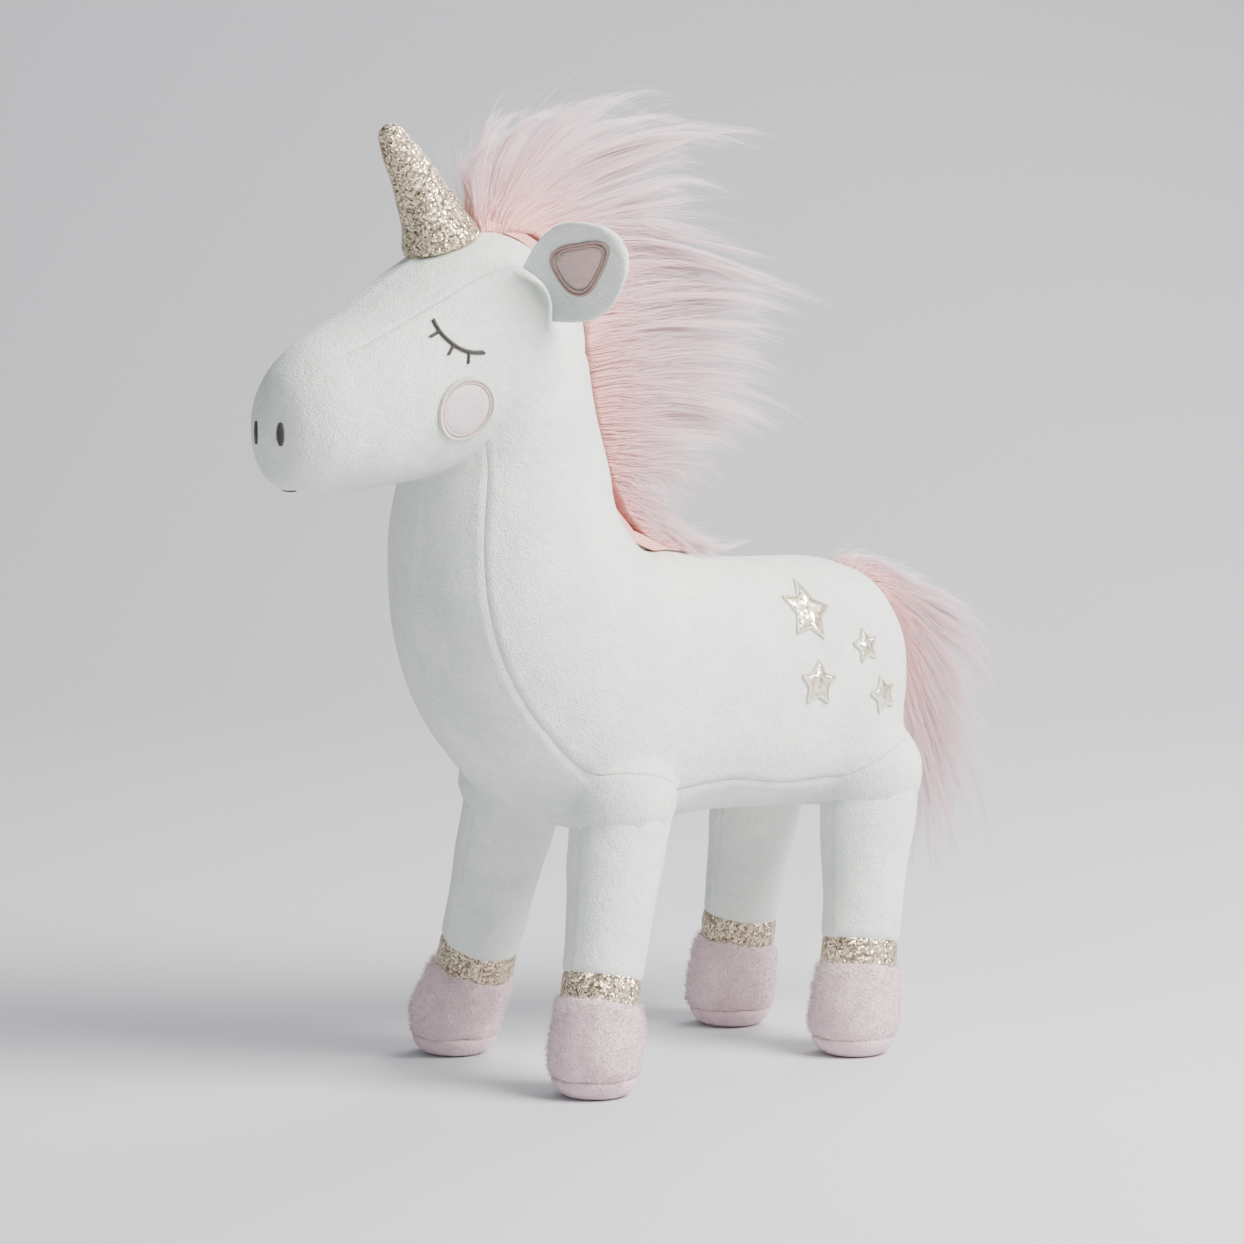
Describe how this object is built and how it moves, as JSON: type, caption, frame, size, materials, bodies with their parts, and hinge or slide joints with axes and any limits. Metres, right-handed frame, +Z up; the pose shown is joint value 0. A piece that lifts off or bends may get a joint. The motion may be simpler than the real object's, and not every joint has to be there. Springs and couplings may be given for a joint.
{
  "type": "plush unicorn",
  "caption": "Standing stuffed unicorn with a stuffed horn, long fur mane and tail, sewn face and flexible legs that stand on four round hooves.",
  "frame": {"origin": "on the floor under the spine, midway between the front and the rear feet, which is also the middle of the toy's standing box", "axes": "+Z up, nose towards -Y, the toy's left side towards +X"},
  "size_m": [0.1636, 0.3916, 0.3899],
  "materials": {
    "cream_plush": "short-pile cream plush",
    "pink_plush": "short-pile pale pink plush",
    "pink_fur": "long-pile pink fur, paler at the tips",
    "woven_tape": "plain woven tape",
    "ear_velour": "dusty pink velour",
    "gold_glitter": "coarse champagne gold glitter cloth",
    "gold_foil": "pale gold metallic cloth",
    "border_thread": "satin stitch",
    "dark_thread": "charcoal satin stitch",
    "stuffing": "polyester fibre fill"
  },
  "bodies": {
    "torso": {"chest_belly_gusset": "cream_plush", "mane_fur_neck": "pink_fur", "mane_tape_neck": "woven_tape", "star_outlines_left": "border_thread", "star_outlines_right": "border_thread", "star_patches_left": "gold_foil", "star_patches_right": "gold_foil", "tail_tape": "woven_tape", "torso_side_left": "cream_plush", "torso_side_right": "cream_plush", "torso_stuffing": "stuffing"},
    "head": {"cheek_patch_left": "pink_plush", "cheek_patch_right": "pink_plush", "cheek_stitching_left": "border_thread", "cheek_stitching_right": "border_thread", "eye_left": "dark_thread", "eye_right": "dark_thread", "forelock_fur": "pink_fur", "head_side_left": "cream_plush", "head_side_right": "cream_plush", "head_stuffing": "stuffing", "head_top_gusset": "cream_plush", "mane_fur_head": "pink_fur", "mane_tape_head": "woven_tape", "mouth_stitch": "dark_thread", "nostrils": "dark_thread"},
    "horn": {"horn_cover": "gold_glitter", "horn_stuffing": "stuffing"},
    "ear_left": {"ear_left_back": "cream_plush", "ear_left_front": "cream_plush", "ear_left_patch": "ear_velour", "ear_left_stitching": "border_thread"},
    "ear_right": {"ear_right_back": "cream_plush", "ear_right_front": "cream_plush", "ear_right_patch": "ear_velour", "ear_right_stitching": "border_thread"},
    "tail": {"tail_fur": "pink_fur"},
    "leg_front_left": {"leg_front_left_cover": "cream_plush", "leg_front_left_cuff": "gold_glitter", "leg_front_left_hoof_sole": "pink_plush", "leg_front_left_hoof_wall": "pink_plush", "leg_front_left_stuffing": "stuffing"},
    "leg_front_right": {"leg_front_right_cover": "cream_plush", "leg_front_right_cuff": "gold_glitter", "leg_front_right_hoof_sole": "pink_plush", "leg_front_right_hoof_wall": "pink_plush", "leg_front_right_stuffing": "stuffing"},
    "leg_rear_left": {"leg_rear_left_cover": "cream_plush", "leg_rear_left_cuff": "gold_glitter", "leg_rear_left_hoof_sole": "pink_plush", "leg_rear_left_hoof_wall": "pink_plush", "leg_rear_left_stuffing": "stuffing"},
    "leg_rear_right": {"leg_rear_right_cover": "cream_plush", "leg_rear_right_cuff": "gold_glitter", "leg_rear_right_hoof_sole": "pink_plush", "leg_rear_right_hoof_wall": "pink_plush", "leg_rear_right_stuffing": "stuffing"}
  },
  "joints": [
    {"name": "head_nod", "type": "hinge", "parent": "torso", "child": "head", "pos_m": [0, -0.086, 0.272], "axis": [1, 0, 0], "range_deg": [-8, 8], "stiffness_Nm_per_rad": 3},
    {"name": "horn_wobble", "type": "hinge", "parent": "head", "child": "horn", "pos_m": [0, -0.1135, 0.3385], "axis": [0, 0.9397, 0.342], "range_deg": [-5, 5], "stiffness_Nm_per_rad": 0.15},
    {"name": "ear_left_flop", "type": "hinge", "parent": "head", "child": "ear_left", "pos_m": [0.0385, -0.0885, 0.3185], "axis": [-0.3478, -0.3347, 0.8758], "range_deg": [-15, 15], "stiffness_Nm_per_rad": 0.03},
    {"name": "ear_right_flop", "type": "hinge", "parent": "head", "child": "ear_right", "pos_m": [-0.0385, -0.0885, 0.3185], "axis": [-0.3478, 0.3347, -0.8758], "range_deg": [-15, 15], "stiffness_Nm_per_rad": 0.03},
    {"name": "leg_front_left_swing", "type": "hinge", "parent": "torso", "child": "leg_front_left", "pos_m": [0.032, -0.049, 0.106], "axis": [1, 0, 0], "range_deg": [-12, 12], "stiffness_Nm_per_rad": 1.2},
    {"name": "leg_front_right_swing", "type": "hinge", "parent": "torso", "child": "leg_front_right", "pos_m": [-0.032, -0.054, 0.106], "axis": [1, 0, 0], "range_deg": [-12, 12], "stiffness_Nm_per_rad": 1.2},
    {"name": "leg_rear_left_swing", "type": "hinge", "parent": "torso", "child": "leg_rear_left", "pos_m": [0.032, 0.084, 0.106], "axis": [1, 0, 0], "range_deg": [-12, 12], "stiffness_Nm_per_rad": 1.2},
    {"name": "leg_rear_right_swing", "type": "hinge", "parent": "torso", "child": "leg_rear_right", "pos_m": [-0.032, 0.079, 0.106], "axis": [1, 0, 0], "range_deg": [-12, 12], "stiffness_Nm_per_rad": 1.2},
    {"name": "tail_swish", "type": "hinge", "parent": "torso", "child": "tail", "pos_m": [0, 0.113, 0.191], "axis": [0, 0, 1], "range_deg": [-25, 25], "stiffness_Nm_per_rad": 0.06}
  ]
}
